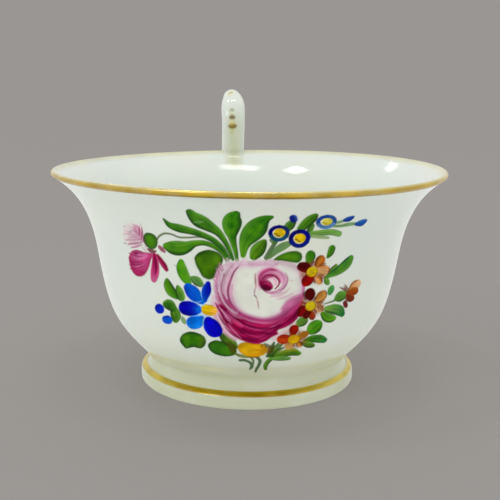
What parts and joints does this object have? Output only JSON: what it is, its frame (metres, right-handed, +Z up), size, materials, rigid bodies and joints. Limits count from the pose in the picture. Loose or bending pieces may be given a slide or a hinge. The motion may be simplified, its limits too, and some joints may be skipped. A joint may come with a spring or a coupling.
{
  "type": "demitasse cup",
  "caption": "Glazed porcelain coffee cup with a flared gilt rim, turned foot ring, high strap handle and an enamelled flower spray.",
  "frame": {"origin": "on the surface that the cup stands on, under the middle of the whole cup's box, handle included; the bowl's axis stands 6.83 mm towards -Y from it", "axes": "+Z up through the bowl, +Y towards the handle, +X to the right of someone who faces the flower spray"},
  "size_m": [0.0806, 0.0942, 0.0592],
  "materials": {
    "porcelain": "clear gloss glaze over pale porcelain",
    "gilding": "worn fired gold",
    "enamel_pink": "gloss enamel",
    "enamel_blue": "gloss enamel",
    "enamel_orange": "gloss enamel",
    "enamel_yellow": "gloss enamel",
    "enamel_green": "gloss enamel"
  },
  "bodies": {
    "root": {"bowl": "porcelain", "foot_ring": "porcelain", "handle": "porcelain", "rim_gilding": "gilding", "foot_gilding": "gilding", "handle_husk_1": "gilding", "handle_husk_2": "gilding", "handle_husk_3": "gilding", "handle_tip_mark": "gilding", "rose": "enamel_pink", "carnation": "enamel_pink", "carnation_fringe": "enamel_pink", "anemone": "enamel_blue", "forget_me_not_1": "enamel_blue", "forget_me_not_2": "enamel_blue", "forget_me_not_3": "enamel_blue", "forget_me_not_bud_1": "enamel_blue", "forget_me_not_bud_2": "enamel_blue", "forget_me_not_bud_3": "enamel_blue", "berry_1": "enamel_blue", "berry_2": "enamel_blue", "primrose_1": "enamel_orange", "primrose_2": "enamel_orange", "primrose_3": "enamel_orange", "orange_bud": "enamel_orange", "yellow_flower": "enamel_yellow", "carnation_calyx": "enamel_green", "stem_1": "enamel_green", "stem_2": "enamel_green", "leaf_1": "enamel_green", "leaf_2": "enamel_green", "leaf_3": "enamel_green", "leaf_4": "enamel_green", "leaf_5": "enamel_green", "leaf_6": "enamel_green", "leaf_7": "enamel_green", "leaf_8": "enamel_green", "leaf_9": "enamel_green", "leaf_10": "enamel_green", "leaf_11": "enamel_green", "leaf_12": "enamel_green", "leaf_13": "enamel_green", "leaf_14": "enamel_green", "leaf_15": "enamel_green", "leaf_16": "enamel_green", "leaf_17": "enamel_green", "leaf_18": "enamel_green", "leaf_19": "enamel_green", "leaf_20": "enamel_green", "leaf_21": "enamel_green", "leaf_22": "enamel_green"}
  },
  "joints": []
}
